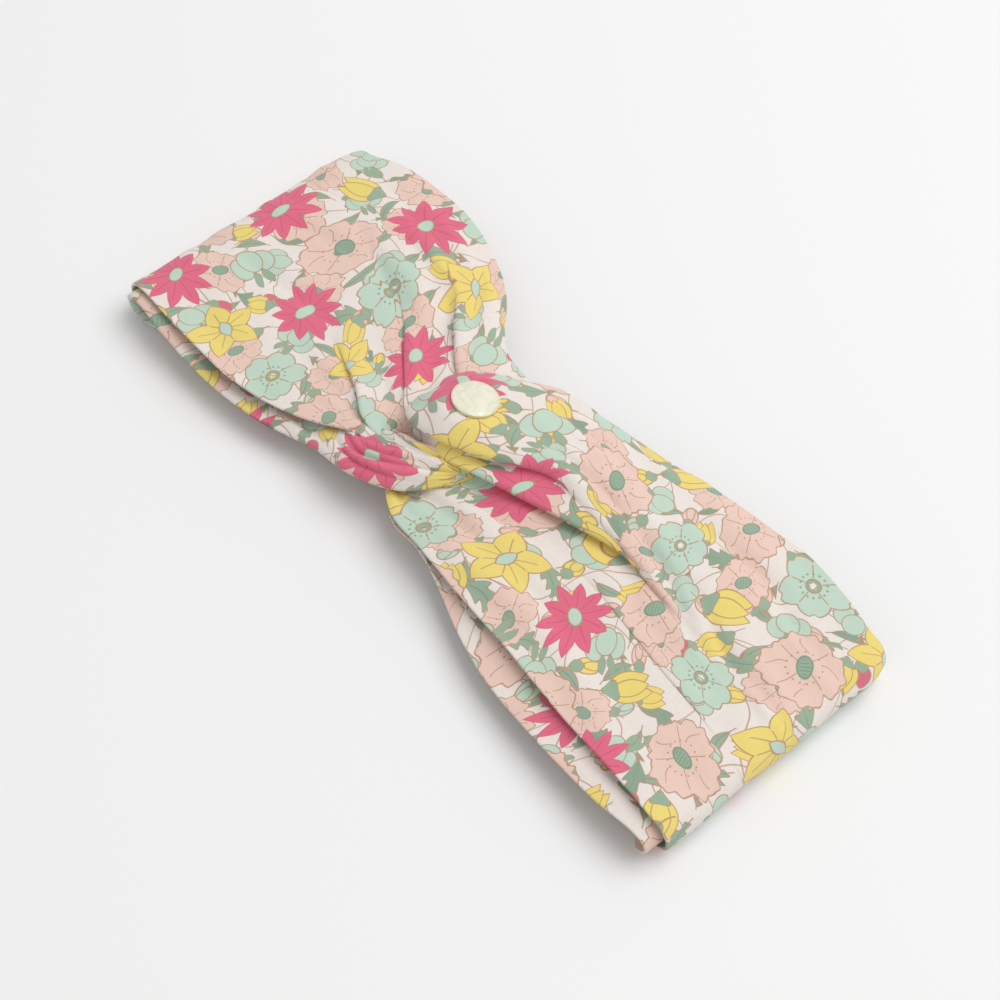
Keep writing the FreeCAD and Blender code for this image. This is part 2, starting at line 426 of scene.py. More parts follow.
def printed_cotton_material():
    """Fine cotton lawn: a small-flowered print, a plain weave and soft creases."""
    material, shader = start_material("printed_cotton")
    p = scaled(Field(new_node("UVMap", uv_map="cloth").outputs[0]), UV_MM)
    _, drift = noise(p, 0.018, 1.0)
    drift = vector("SUBTRACT", drift, (0.5, 0.5, 0.5))
    drawn = vector("ADD", p, vector("MULTIPLY", drift, (22.0, 22.0, 0.0)))
    mottle, _ = noise(p, 0.9, 3.0)
    color = paint(GROUND, SHADED_GROUND, mottle)
    color = stem_layer(color, drawn)
    color = leaf_layer(color, drawn, 14.0, 2, 4.9, 1.45, False)
    color = leaf_layer(color, vector("ADD", drawn, (5.0, 7.0, 0.0)), 19.0, 6, 6.6, 2.3, True)
    color = bud_layer(color, vector("ADD", drawn, (9.0, 3.0, 0.0)))
    smaller = vector("ADD", scaled(drawn, 1.36), (13.0, 8.0, 0.0))
    color = flower_layer(color, smaller, SMALL_FLOWERS, 7)
    color = flower_layer(color, drawn, FLOWERS, 4)
    x, y, _ = parts_of(p)
    warp = sine(x * (2 * math.pi / WEAVE)) * sine(y * (2 * math.pi / WEAVE))
    slub, _ = noise(vector("MULTIPLY", p, (1.0, 0.12, 1.0)), 3.0, 2.0)
    color = paint(color, srgb(120, 104, 92), (slub - 0.42) * 0.16)
    creases, _ = noise(p, 0.12, 4.0)
    set_up(shader, {"Base Color": color, "Roughness": number("MULTIPLY_ADD", slub, 0.16, 0.74),
                    "Sheen Weight": 0.18, "Sheen Roughness": 0.6, "Specular IOR Level": 0.25,
                    "Normal": bumped(creases * 0.9 + warp * 0.05 + slub * 0.1, 0.0010, 0.55)})
    return material


# ---- nets and lofts
def placed(name, data, material=None):
    obj = bpy.data.objects.new(name, data)
    bpy.context.collection.objects.link(obj)
    if material:
        data.materials.append(material)
    return obj


def ring_faces(rows, count):
    """The quads between rows of points, where each row is a ring of count points."""
    i, j = np.meshgrid(np.arange(rows - 1), np.arange(count), indexing="ij")
    k = (j + 1) % count
    quads = [i * count + j, i * count + k, (i + 1) * count + k, (i + 1) * count + j]
    return np.stack(quads, axis=2).reshape(-1, 4)


def cloth_mesh(name, points, faces, corners):
    """A smooth mesh, with the place on the flat cloth of each corner of its faces. All in mm."""
    mesh = bpy.data.meshes.new(name)
    mesh.from_pydata((points.reshape(-1, 3) * MM).tolist(), [], faces)
    layer = mesh.uv_layers.new(name="cloth")
    layer.data.foreach_set("uv", (corners / UV_MM).astype(np.float32).ravel())
    mesh.polygons.foreach_set("use_smooth", [True] * len(faces))
    return mesh


def unit(v):
    return v / np.maximum(np.linalg.norm(v, axis=-1, keepdims=True), 1e-9)


def smooth_line(t, values, at):
    """Cubic through values at t, read at the places in at. Works on any trailing shape."""
    t, values, at = np.asarray(t, float), np.asarray(values, float), np.asarray(at, float)
    slope = np.gradient(values, t, axis=0)
    k = np.clip(np.searchsorted(t, at, side="right") - 1, 0, len(t) - 2)
    h = t[k + 1] - t[k]
    u = (at - t[k]) / h
    shape = (-1,) + (1,) * (values.ndim - 1)
    u, h = u.reshape(shape), h.reshape(shape)
    return (values[k] * (2 * u ** 3 - 3 * u ** 2 + 1) + slope[k] * h * (u ** 3 - 2 * u ** 2 + u)
            + values[k + 1] * (3 * u ** 2 - 2 * u ** 3) + slope[k + 1] * h * (u ** 3 - u ** 2))


def gaps(g, axis):
    """Distances between neighbours of a grid of points."""
    return np.linalg.norm(np.diff(g, axis=axis), axis=2)


def soften(grid, axis, passes):
    """Rounds corners along one axis of a grid and keeps its ends."""
    g = np.moveaxis(grid, axis, 0).copy()
    for _ in range(passes):
        g[1:-1] = g[1:-1] / 2 + (g[:-2] + g[2:]) / 4
    return np.moveaxis(g, 0, axis)


def loft(net, step_along=1.5, step_across=0.8, passes=3):
    """A dense grid of points through a net of rows (across the cloth) by columns (along it).

    Also returns where each column of the net is in the grid."""
    net = np.asarray(net, float)
    gap = gaps(net, 0).mean(axis=1)
    t = np.concatenate([[0], np.cumsum(gap)])
    stations = [np.linspace(a, b, max(2, round((b - a) / step_along)), endpoint=False)
                for a, b in zip(t[:-1], t[1:])]
    dense = smooth_line(t, net, np.concatenate(stations + [[t[-1]]]))
    width = gaps(net, 1).mean(axis=0)
    columns, places = [], [0]
    for j, w in enumerate(width):
        n = max(3, round(w / step_across))
        places.append(places[-1] + n)
        for k in range(n):
            columns.append(dense[:, j] + (dense[:, j + 1] - dense[:, j]) * k / n)
    columns.append(dense[:, -1])
    return soften(soften(np.stack(columns, axis=1), 1, passes), 0, 2), places


def grid_normals(g):
    """Unit normals of a grid of points, facing up in its middle."""
    n = np.cross(np.gradient(g, axis=0), np.gradient(g, axis=1))
    n = unit(soften(soften(n, 0, 2), 1, 2))
    return -n if n[g.shape[0] // 2, g.shape[1] // 2, 2] < 0 else n


def cloth_map(g, flat_row, layers):
    """Flat cloth coordinates in millimetres: arc length along and across, both counted from flat_row.

    layers are the stretches of columns between pleats. Each is (first, anchor, last): its print lines up
    with the flat part at the anchor, and the hidden cloth between two layers takes up the difference.
    Both are evened out along the cloth, as the print doesn't follow small changes of the folds."""
    along = np.concatenate([np.zeros((1, g.shape[1])), np.cumsum(gaps(g, 0), axis=0)])
    along = along - along[flat_row]
    arc = np.concatenate([np.zeros((g.shape[0], 1)), np.cumsum(gaps(g, 1), axis=1)], axis=1)
    across, known = np.zeros_like(arc), np.zeros(g.shape[1], bool)
    for first, anchor, last in layers:
        part = slice(first, last + 1)
        across[:, part] = arc[:, part] - arc[:, anchor:anchor + 1] + arc[flat_row, anchor]
        known[part] = True
    columns = np.arange(g.shape[1])
    for k in range(len(across)):
        across[k] = np.interp(columns, columns[known], across[k, known])
    return np.stack([evened(along, 10), evened(across, 14)], axis=2)


def evened(values, reach):
    """Smooths values along the cloth over about reach rows, and keeps straight runs as they are."""
    weight = np.exp(-np.linspace(-2, 2, 4 * reach + 1) ** 2)
    weight /= weight.sum()
    pad = 2 * reach
    steps = np.arange(1, pad + 1)[:, None]
    before = values[:1] - (values[1] - values[0]) * steps[::-1]
    after = values[-1:] + (values[-1] - values[-2]) * steps
    long = np.concatenate([before, values, after])
    return sum(w * long[k:k + len(values)] for k, w in enumerate(weight))


def lattice_noise(u, v, seed):
    """Smooth noise from -1 to 1 on a grid of random heights, the same on every run."""
    heights = np.random.default_rng(seed).uniform(-1, 1, (97, 89))
    iu, iv = np.floor(u).astype(int), np.floor(v).astype(int)
    fu, fv = u - iu, v - iv
    fu, fv = fu * fu * (3 - 2 * fu), fv * fv * (3 - 2 * fv)
    a = heights[iu % 97, iv % 89] * (1 - fu) + heights[(iu + 1) % 97, iv % 89] * fu
    b = heights[iu % 97, (iv + 1) % 89] * (1 - fu) + heights[(iu + 1) % 97, (iv + 1) % 89] * fu
    return a * (1 - fv) + b * fv


def creased(g, seed, side):
    """Adds the small creases that run out from the knot, and the soft unevenness of limp cotton."""
    n = grid_normals(g)
    cols = g.shape[1]
    along = np.cumsum(np.concatenate([[0], gaps(g, 0).mean(axis=1)]))[:, None]
    width = gaps(g, 1).sum(axis=1).mean()
    across = np.linspace(0, width, cols)[None, :]
    out = np.maximum(np.abs(g[:, cols // 2, 0]), 1)[:, None]
    sway = across + 4.5 * lattice_noise(along / 31 + 3, across / 40, seed + 5)
    ridges = lattice_noise(along / 34, sway / 5.2, seed)
    ridges = ridges + 0.5 * lattice_noise(along / 17, sway / 2.9, seed + 1)
    sharp = np.sign(ridges) * np.abs(ridges) ** 0.8
    soft = lattice_noise(along / 16, across / 12, seed + 2)
    soft = soft + 0.5 * lattice_noise(along / 7, across / 6, seed + 3)
    tight = np.exp(-np.maximum(out - 14, 0) / 42)
    lift = sharp * (0.85 * tight + 0.34) + soft * 0.46
    g = g + n * (lift * np.clip(n[..., 2] * 1.5, 0, 1))[..., None]
    # The end folds aren't ruler-straight, and their far corners are pulled in
    end = np.clip((out - FOLD_X + 12) / 12, 0, 1)
    far = np.clip((g[..., 1] - g[..., 1].max(axis=1, keepdims=True) + 9) / 9, 0, 1)
    uneven = 0.5 + 0.5 * lattice_noise(g[..., 1] / 17, 0 * g[..., 1], seed + 4)
    g[..., 0] -= side * end * (2.2 * far ** 2 + uneven)
    g[..., 2] = np.maximum(g[..., 2], CLOTH_T / 2 + 0.05)
    return g


def long_edge(g, normals, uv, half, column, inner, turns):
    """The rounded edge of a ribbon, as (points, normals, map) at each turn from the upper face."""
    out = unit(g[:, column] - g[:, inner])
    side = -1 if column == 0 else 1
    for turn in np.radians(turns):
        facing = normals[:, column] * math.cos(turn) + out * math.sin(turn)
        yield g[:, column] + facing * half, facing, uv[:, column] + np.array([0, side * half * turn])


def ribbon(name, g, normals, uv, material, thickness=CLOTH_T):
    """A closed sheet of cloth with rounded long edges, from a grid of its middle surface."""
    rows, cols = g.shape[:2]
    half = thickness / 2
    ring = [(g[:, j] + normals[:, j] * half, normals[:, j], uv[:, j]) for j in range(cols)]
    ring += long_edge(g, normals, uv, half, -1, -2, (45, 90, 135))
    ring += [(g[:, j] - normals[:, j] * half, -normals[:, j], uv[:, j] + UNDERSIDE_PRINT)
             for j in reversed(range(cols))]
    ring += long_edge(g, normals, uv, half, 0, 1, (135, 90, 45))
    points, facing, flat = (np.stack(part, axis=1) for part in zip(*ring))
    n = len(ring)
    quads = ring_faces(rows, n)
    # Which way round the faces go depends on the side of the band the arm is on
    order = -1 if np.cross(g[1, 0] - g[0, 0], g[0, 1] - g[0, 0]) @ normals[0, 0] > 0 else 1
    caps = [list(range(n))[::-1], list(range((rows - 1) * n, rows * n))]
    faces = [tuple(q[::order]) for q in quads.tolist() + caps]
    corners = np.concatenate([flat.reshape(-1, 2)[quads[:, ::order]].reshape(-1, 2),
                              flat[0][::-order], flat[-1][::order]])
    mesh = cloth_mesh(name, points, faces, corners)
    mesh.normals_split_custom_set_from_vertices(facing.reshape(-1, 3).tolist())
    return placed(name, mesh, material)


# ---- the four arms
def row(x, ys, zs, shift=None):
    """One row across the cloth at x, with a shift of x per point where the row isn't straight."""
    shift = shift or [0] * len(ys)
    return [(x + d, y, z) for d, y, z in zip(shift, ys, zs)]


def fold_rows(last, side, steps=5):
    """Carries a row round the end fold: a half turn about the fold's own line."""
    rows = []
    for k in range(1, steps + 1):
        s, c = math.sin(math.pi * k / (steps + 1)), math.cos(math.pi * k / (steps + 1))
        rows.append([(side * (FOLD_X + (z - FOLD_R) * s), y, FOLD_R + (z - FOLD_R) * c)
                     for _, y, z in last])
    rows.append([(side * (FOLD_X - 0.3), y, 2 * FOLD_R - z) for _, y, z in last])
    return rows


def tail_row(x, last, squeeze, z):
    """A row of a tail, squeezed towards the casing's width."""
    widest = max(abs(y) for _, y, _ in last)
    return [(x, y * squeeze * min(1.0, 46 / widest), z) for _, y, _ in last]


# Columns run from the far edge over the crest to two overlapping pleats, then to the near edge
RIGHT_UPPER = [
    row(-9, [12, 11, 8, 2, -5, -11, -10, -11.5, -10.5, -15, -18, -18.2, -20, -22],
        [15.5, 16.2, 17.6, 18.6, 18.8, 19, 18.8, 18.6, 17, 11.8, 11, 11, 10.6, 10.4]),
    row(-18, [13.5, 12.5, 9, 2, -6, -13, -11.5, -14, -12, -16.5, -19.5, -19.7, -22, -24.5],
        [15.8, 16.6, 17.8, 18.6, 18.8, 18.8, 18.4, 18.2, 16.6, 11.8, 11, 11, 10.6, 10.4],
        [2, 1, -1, -3.5, -3.5, -1.5, 0, -1, 1, 5, 6, 6, 6, 7]),
    row(-22, [14.5, 13.5, 10, 2, -7, -15, -11, -14, -11, -16, -20, -20.2, -23, -26],
        [17.4, 18.4, 20, 21.2, 21.6, 21.2, 18.4, 15.4, 13, 11.4, 11, 11, 10.8, 10.6],
        [4, 2.5, 0, -4, -3.8, -1, 2.5, 0.5, 4, 8, 8.6, 8.6, 9, 10]),
    row(-20, [17.5, 16.5, 12.5, 4, -7, -16.6, -11.5, -15, -11, -15.5, -20, -20.3, -24, -28],
        [17.4, 19.4, 22, 24, 24.6, 23.6, 19.4, 15.6, 13, 11.6, 11.4, 11.4, 11, 10.8],
        [6, 5, 3, 0.3, -0.8, 0.5, 3, 1, 4, 7, 7.2, 7.2, 7.5, 8.5]),
    row(-12, [22.5, 20.5, 15.5, 6, -6, -17.0, -11.5, -16.4, -11, -15.5, -20.5, -20.8, -25, -30.5],
        [13.6, 17.8, 21.8, 24.8, 25.8, 24.6, 21, 18, 14.4, 12.8, 12.4, 12.4, 12, 11.2],
        [3, 2, 1, 0, 0, 0, 0, 0, 0, 1, 1, 1, 1, 1]),
    row(-4, [27.5, 25.5, 19.5, 10, -3, -15.3, -9, -17.6, -9, -14, -20, -20.3, -26.5, -34.8],
        [12, 16.8, 21.8, 25, 26.2, 24.8, 22.2, 21.2, 16.2, 14.2, 13.4, 13.3, 12.7, 11.8]),
    row(8, [30.8, 28.5, 22, 11, 1, -8.3, -1.5, -13.2, -5, -11, -17, -17.3, -26, -36],
        [12, 17.2, 21.8, 24.8, 25.4, 24.2, 21.8, 20.8, 15.6, 14.6, 14, 13.9, 13.4, 12.5]),
    row(20, [32.6, 29.5, 23, 13, 6, 1.5, 4, -8.9, -1, -9, -15, -15.2, -26, -37.1],
        [12.2, 17, 21, 23.6, 23.4, 22.4, 20.8, 19.5, 15, 14.6, 14.2, 14.1, 13.7, 12.9]),
    row(35, [35.2, 31, 23.5, 12.5, 7, 3.4, 3, -3.4, 5, -4, -11, -11, -25, -38.2],
        [12.4, 16.2, 19.4, 21.4, 20.8, 20, 19.8, 18.4, 14.8, 14.2, 14, 13.9, 13.6, 13]),
    row(50, [38.3, 33, 24, 11, 6, 3.8, 3.4, 1.8, 6.5, -2, -9.5, -9, -24, -39.1],
        [12.6, 15.5, 18, 19.4, 18.8, 18.2, 18, 17.3, 15, 14.2, 14.1, 13.7, 13.5, 13.1]),
    row(66, [40.3, 33.5, 23, 12, 6.5, 3.5, 2.6, 1.8, 1.6, -5, -11, -10.2, -25, -40.8],
        [13, 15, 16.6, 17.6, 17, 16.4, 16.2, 15.7, 14.6, 14, 14.1, 13.3, 13.4, 13.1]),
    row(CUT_X, [42, 34, 23, 13, 6.5, 2.5, 1, -1.5, -3.5, -8.5, -13.2, -12.3, -27.5, -42],
        [13.2, 14, 14.8, 15.6, 15, 14.3, 14.1, 13.9, 13.7, 13.5, 13.8, 13.0, 13.2, 13.1]),
    row(100, [40.6, 33, 23, 13, 6, 2, 0.3, -2, -4.5, -10, -15, -14, -29, -43.2],
        [13.3, 13.6, 13.9, 14.1, 13.9, 13.6, 13.5, 13.4, 13.4, 13.4, 13.8, 13.0, 13.3, 13.3]),
    row(FOLD_X, [37.5, 31, 22, 13, 6, 2, 0, -2.5, -5, -11, -18, -17, -31, -44.5], [OUTER_Z] * 14),
]

# Columns run from the far edge over three pleats that fan out from the knot to the near edge
LEFT_UPPER = [
    row(4, [18, 16, 5, 8, 1, -6, -4, -7, -10, -9, -10.5, -11.5],
        [12, 13, 13.4, 12.6, 13, 13, 12.4, 13, 13, 12.6, 12.8, 13]),
    row(-6, [22, 19, 5, 9, 0, -9, -5, -10, -14.5, -12, -14, -15.5],
        [11.6, 13.4, 14.4, 13.6, 14.2, 14.4, 13.4, 14, 14.4, 13.4, 13.6, 14]),
    row(-16, [24, 21, 5, 11, -1, -12, -6, -13.5, -19.8, -15, -18.5, -20.6],
        [11.6, 14, 15.6, 14.6, 15.4, 15.6, 14.4, 15.2, 15.6, 14.2, 14.4, 14.6]),
    row(-25, [26.3, 23.5, 6, 13, 0, -14, -6, -15.5, -24.2, -18.5, -22, -25.3],
        [11.6, 14.6, 17.2, 15.6, 16.4, 17.4, 15, 15.6, 16.8, 14.6, 14.8, 15]),
    row(-32, [31, 27.5, 11.2, 16, 4, -8, -1.5, -13, -23.8, -17.5, -22.5, -27.6],
        [11.8, 15, 17.8, 16.2, 17, 18, 15.6, 15.8, 17.6, 14.8, 15, 14.8]),
    row(-40, [38.2, 33.5, 18.6, 21, 9, -1.2, 3, -8, -18.8, -15, -24, -31.8],
        [12, 15.2, 17.6, 16.4, 17, 17.8, 15.8, 15.6, 17.6, 15, 15, 14]),
    row(-50, [44.5, 39, 28.5, 28.2, 16, 7.5, 8.5, -3, -14.6, -12.5, -24, -35.8],
        [12.4, 15, 17, 16.6, 17, 17, 16, 15.6, 16.6, 15, 14.8, 13.6]),
    row(-60, [48.5, 41.5, 30.5, 29.6, 20, 13.5, 12.7, 1.5, -10.7, -10.7, -25, -38.9],
        [12.7, 14.8, 16.4, 16.2, 16.8, 16.2, 15.8, 15.2, 15.6, 14.9, 14.5, 13.5]),
    row(-72, [51, 42.5, 31, 30, 21, 13.5, 12.5, 2, -9.5, -10.2, -26, -41.3],
        [12.9, 14.4, 15.6, 15.5, 16.2, 15.2, 15, 14.4, 14.6, 14.3, 14.1, 13.4]),
    row(-CUT_X, [51.2, 41, 30, 29, 20, 12, 11, 1, -9.5, -10.5, -26, -41.6],
        [13.1, 13.9, 14.6, 14.6, 15, 14.2, 14.1, 13.7, 14, 14, 13.8, 13.3]),
    row(-100, [49, 38, 27, 26, 15, 9, 8, -2, -11, -12, -26, -41.5],
        [13.3, 13.6, 13.9, 13.9, 14.1, 13.7, 13.7, 13.4, 13.6, 13.6, 13.5, 13.4]),
    row(-FOLD_X, [44, 34, 24, 23, 13, 6, 5, -4, -12, -13, -26, -41], [OUTER_Z] * 12),
]

# A plain band under it
RIGHT_LOWER = [
    row(-12, [0, -5, -11, -18, -25, -29], [9.8] * 6),
    row(-9, [6, 0, -8, -17, -26, -32.4], [9.6] * 6),
    row(-2, [14, 5, -5, -15, -26, -35.6], [9.6, 9.6, 9.6, 9.6, 9.4, 9]),
    row(8, [20, 9, -3, -14, -25, -35.5], [9.8, 9.8, 9.8, 9.8, 9.4, 8.6]),
    row(20, [25, 11.5, -2, -15, -27, -38.4], [10, 10, 10, 10, 9.4, 8.2]),
    row(35, [30, 15, 0, -14.5, -29.5, -43.8], [10.2, 10.2, 10.2, 10.2, 9.6, 8.2]),
    row(50, [33.5, 17, 1, -15, -31, -47.8], [10.4, 10.4, 10.4, 10.4, 9.8, 8.2]),
    row(66, [37, 19, 2, -15, -32.5, -49.6], [10.5, 10.6, 10.6, 10.5, 10, 8.5]),
    row(CUT_X, [38, 20, 2, -15.5, -33.5, -50.4], [10.7, 10.7, 10.7, 10.7, 10.3, 9.2]),
    row(100, [37, 19, 1.5, -16, -33.5, -50.6], [INNER_Z] * 5 + [10.2]),
    row(FOLD_X, [35, 18, 1, -16, -33, -49.6], [INNER_Z] * 6),
]

# Narrows to a bundle that climbs over the right wrap and dives into its pleats
LEFT_LOWER = [
    row(4, [-4, -5, -6, -7, -8, -9, -8], [16.4, 16.8, 17, 16.8, 16.2, 15.6, 15]),
    row(1, [-8, -9.5, -11, -12.8, -14.6, -16, -14], [17.6, 18, 18.4, 18, 16.8, 15.4, 14.8],
        [-1, -0.5, 0, 0.8, 1.4, 1.4, 1]),
    row(-3, [-11.5, -12.8, -14.5, -17, -20, -22, -19], [18.8, 19.6, 20.2, 19.6, 17.4, 15.2, 14.6],
        [-2, -1.3, -0.2, 1, 1.8, 1.8, 1]),
    row(-7, [-14.5, -15.6, -17, -20.5, -25, -27.4, -24], [19, 20.2, 21, 20.6, 17.6, 14.6, 14.2],
        [-2, -1.2, 0, 1.4, 2.4, 2.6, 1.6]),
    row(-12, [-17, -18.5, -20, -24, -29, -31.4, -28], [18, 19.4, 20.2, 20, 17, 13.4, 13.4],
        [-2, -1.3, -0.5, 0.5, 1.5, 2, 1]),
    row(-18, [-18, -20, -22.8, -27, -31.5, -34.4, -31], [16.5, 18, 19, 18.8, 16.2, 12.4, 12.2],
        [-1, -0.5, 0, 0.4, 0.6, 0.8, 0]),
    row(-24, [-20, -22, -25, -29, -33, -36, -33], [15, 16.2, 17.3, 17, 14.8, 11.4, 10.8]),
    row(-30, [-16, -19, -23, -27.5, -32.6, -36.4, -33.5], [12.6, 13.4, 14, 14.9, 13.4, 10.4, 9.6]),
    row(-36, [-2, -10, -18, -25, -32, -37, -34], [11, 11.6, 12.2, 12.6, 12, 9.6, 8.6]),
    row(-44, [20, 6, -8, -20, -31.5, -39.3, -36.3], [10.8, 10.8, 10.8, 10.8, 10.4, 9, 8]),
    row(-54, [34, 17, 0, -16, -31, -42.6, -39.6], [10.6, 10.6, 10.6, 10.4, 9.8, 8.6, 7.6]),
    row(-64, [40, 22, 4, -14, -30.5, -44.6, -41.6], [10.5, 10.5, 10.5, 10.3, 9.7, 8.4, 7.4]),
    row(-CUT_X, [44, 25.5, 7.3, -11.5, -29.6, -46.4, -43.4], [10.6, 10.6, 10.6, 10.4, 9.9, 9, 8]),
    row(-100, [44, 26, 8.5, -10, -28, -46, -43], [INNER_Z] * 5 + [10.3, 9.4]),
    row(-FOLD_X, [43, 26, 9, -9, -27, -45, -42.5], [INNER_Z] * 6 + [10.2]),
]

# Each arm's net, with the rows of its tail: place along x, squeeze and height
NETS = {
    ("right", "upper"): (RIGHT_UPPER, ((107, 0.74, 0.6), (97.4, 0.5, 0.55))),
    ("left", "upper"): (LEFT_UPPER, ((-96, 0.86, 0.6), (-80, 0.64, 0.6), (-67, 0.5, 0.55))),
    ("right", "lower"): (RIGHT_LOWER, ((107, 0.74, 3.9), (97.4, 0.5, 4.1))),
    ("left", "lower"): (LEFT_LOWER, ((-96, 0.86, 3.7), (-80, 0.64, 3.9), (-67, 0.5, 4.1))),
}
SIDES = {"right": 1, "left": -1}
cotton = printed_cotton_material()

BUTTON_LO, BUTTON_HI = (np.array(c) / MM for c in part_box("button"))
BUTTON_AT = (BUTTON_LO + BUTTON_HI) / 2
BUTTON_TILT = math.radians(13)      # the button leans to the far side
UNDER_BUTTON_Z = 27.5               # height of its underside in the middle
CREST_TOP = 29.4                    # the cloth round it rises no higher


def seat_button(g):
    """Raises the crest of the right wrap to the button's underside, and a little round its rim."""
    away = np.hypot(g[..., 0] - BUTTON_AT[0], g[..., 1] - BUTTON_AT[1])
    near = np.clip((17 - away) / 9, 0, 1)
    near = near * near * (3 - 2 * near) * np.clip(g[..., 2] - 19, 0, 1)
    underside = UNDER_BUTTON_Z - math.tan(BUTTON_TILT) * (g[..., 1] - 0.5)
    puff = 0.9 * np.exp(-((away - 9.2) / 1.4) ** 2)
    aim = np.minimum(underside - CLOTH_T / 2 + puff, CREST_TOP)
    g[..., 2] += near * (aim - g[..., 2])
    return g


def pressed(g, x, y, reach_x, reach_y, depth, low=12.0, tilt=0.0):
    """Presses a soft hollow into the cloth that lies above the height low."""
    dx, dy = g[..., 0] - x, g[..., 1] - y
    c, s = math.cos(tilt), math.sin(tilt)
    along, across = dx * c + dy * s, dy * c - dx * s
    hollow = np.exp(-(along / reach_x) ** 2 - (across / reach_y) ** 2)
    g[..., 2] -= depth * hollow * np.clip((g[..., 2] - low) / 2, 0, 1)
    return g


def seam_ridge(g):
    """Presses the underside down along the wrap's seam, where the seam's allowance lies inside."""
    g[..., 2] -= 0.42 * np.exp(-(g[..., 1] / 2.2) ** 2) * (np.abs(g[..., 0]) > 60) * (g[..., 2] > FOLD_R)
    return g


PRINT_X = 98.0      # the print is undistorted in the flat cloth here
# Where each arm lies on the printed cloth
PRINT_AT = {("right", "upper"): (310.0, 40.0), ("left", "upper"): (12.0, 6.0),
            ("right", "lower"): (520.0, 210.0), ("left", "lower"): (160.0, 330.0)}
# The stretches of columns between pleats in each net: first, anchor and last
LAYERS = {
    ("right", "upper"): ((0, 2, 5), (6, 6, 7), (9, 11, 13)),
    ("left", "upper"): ((0, 1, 2), (3, 4, 5), (6, 7, 8), (9, 10, 11)),
    ("right", "lower"): ((0, 4, 5),),
    ("left", "lower"): ((0, 4, 6),),
}
# Hollows: place, reach along and across, depth, lowest height, turn
HOLLOWS = {
    ("right", "upper"): ((-23.5, -2.5, 3.4, 3, 4, 15, 0.4), (-15, 9, 8, 1.6, 1.3, 18, -0.3),
                         (-3, -10, 9, 1.8, 1.5, 18, 0.35), (24, 9, 16, 1.7, 1.3, 18, 0.1),
                         (14, 20, 14, 1.6, 1.2, 18, 0.25), (66, 26, 26, 1.8, 1.2, 12, 0.12),
                         (62, 7, 22, 2, 1.4, 12, -0.3), (88, 4, 20, 1.7, 1.1, 12, -0.35),
                         (94, 24, 18, 1.8, 1.1, 12, -0.2), (52, -24, 24, 2, 0.9, 12, -0.1),
                         (100, -30, 16, 1.8, 0.9, 12, 0.12)),
    ("left", "upper"): ((-20.5, -16, 4.5, 3.2, 4.5, 11, 0.2), (-34, 4, 14, 2, 1.5, 14.5, -0.75),
                        (-40, 14, 16, 2, 1.2, 14.5, -0.85), (-40, -8, 13, 1.8, 1.4, 14.5, -0.65),
                        (-44, 31, 16, 2, 1.1, 13, -0.8), (-76, 18, 20, 2.2, 1.1, 12.5, -0.3),
                        (-84, -8, 22, 2, 1, 12.5, 0.1), (-80, 38, 20, 2, 1, 12.5, -0.1)),
    ("left", "lower"): ((-8, -22, 9, 1.3, 1.3, 13, 0.5), (-22, -30, 10, 1.3, 1.1, 12, 0.25)),
    ("right", "lower"): (),
}


def build_arm(hand, level, seed):
    """Lofts one arm and cuts it into the stretch at the knot and the upper and lower half of the fold."""
    side = SIDES[hand]
    net, tail = NETS[hand, level]
    net = net + fold_rows(net[-1], side)
    net = net + [tail_row(x, net[-1], squeeze, z) for x, squeeze, z in tail]
    g, places = loft(net)
    g = creased(g, seed, side)
    for hollow in HOLLOWS[hand, level]:
        g = pressed(g, *hollow)
    if (hand, level) == ("right", "upper"):
        g = seat_button(g)
    if level == "lower":
        g = seam_ridge(g)
    normals = grid_normals(g)
    middle = g.shape[1] // 2
    x, z = np.abs(g[:, middle, 0]), g[:, middle, 2]
    layers = [[places[c] for c in layer] for layer in LAYERS[hand, level]]
    uv = cloth_map(g, int(np.argmax(x >= PRINT_X)), layers) + PRINT_AT[hand, level]
    past = np.arange(len(x)) > len(x) // 4
    cut = int(np.argmax(past & (x >= CUT_X)))
    turn = int(np.argmax(past & (z <= FOLD_R)))
    parts = {}
    for part, a, b in (("knot", 0, cut), ("fold", cut, turn), ("tail", turn, len(x) - 1)):
        name = "%s_wrap_%s_%s_cloth" % (hand, level, part)
        parts[part] = ribbon(name, g[a:b + 1], normals[a:b + 1], uv[a:b + 1], cotton)
    return parts


arms = {key: build_arm(*key, 20 + 7 * k) for k, key in enumerate(NETS)}

# ---- casing, gathered over the elastic
CASING_END_L, CASING_END_R = -76.0, 106.0    # its ends, held between the two plies of the tails
LINK_L, LINK_R = -68.0, 97.0                 # it lies flat beyond these, inside the tails
PIVOT_END = CASING_LO[0]                     # where it meets the left tail
CASING_HALF_W = CASING_HI[1]
CASING_T = 0.35           # thickness of its one ply
CASING_PRINT_AT = np.array([260.0, 130.0])   # its place on the printed cloth
TOPSTITCH_Y = 16.0
GATHER = 1.45             # cut length of the casing over its length at rest


